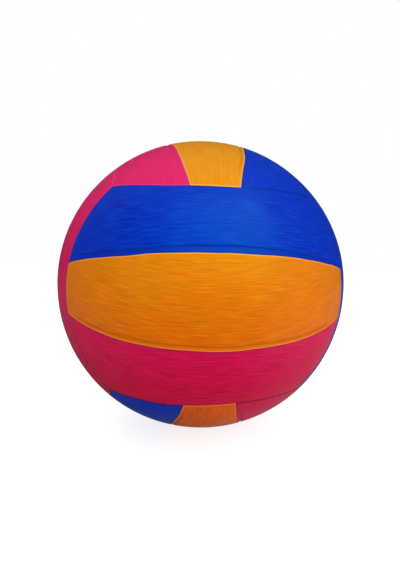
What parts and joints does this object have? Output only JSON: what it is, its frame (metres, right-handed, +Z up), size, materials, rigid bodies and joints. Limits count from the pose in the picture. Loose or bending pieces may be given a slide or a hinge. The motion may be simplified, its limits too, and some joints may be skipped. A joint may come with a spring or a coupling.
{
  "type": "water polo ball",
  "caption": "Inflatable moulded rubber ball with strip panels in blue, orange and magenta over a wound carcass and bladder, filled through a needle valve; for water polo.",
  "frame": {"origin": "centre of the ball", "axes": "+Z up through the top face, -Y out of the front face whose strips run left to right, +Y out through the needle valve in the middle of the back face"},
  "size_m": [0.21, 0.2098, 0.21],
  "materials": {
    "blue_rubber": "satin",
    "orange_rubber": "satin",
    "magenta_rubber": "satin",
    "carcass_rubber": "matte",
    "nylon_thread": "matte",
    "butyl_rubber": "satin",
    "valve_rubber": "satin",
    "plug_rubber": "satin"
  },
  "bodies": {
    "ball": {"front_lower_panel": "magenta_rubber", "front_middle_panel": "orange_rubber", "front_upper_panel": "blue_rubber", "back_lower_panel": "blue_rubber", "back_middle_panel": "orange_rubber", "back_upper_panel": "magenta_rubber", "top_right_panel": "blue_rubber", "top_middle_panel": "orange_rubber", "top_left_panel": "magenta_rubber", "bottom_left_panel": "blue_rubber", "bottom_middle_panel": "orange_rubber", "bottom_right_panel": "magenta_rubber", "left_front_panel": "magenta_rubber", "left_middle_panel": "orange_rubber", "left_rear_panel": "blue_rubber", "right_rear_panel": "magenta_rubber", "right_middle_panel": "orange_rubber", "right_front_panel": "blue_rubber", "carcass": "carcass_rubber", "thread_winding": "nylon_thread", "bladder": "butyl_rubber", "valve_housing": "valve_rubber"},
    "plug": {"valve_plug": "plug_rubber"}
  },
  "joints": [
    {"name": "valve_plug_slide", "type": "slide", "parent": "ball", "child": "plug", "axis": [0, 1, 0], "range_m": [0, 0.025]}
  ]
}
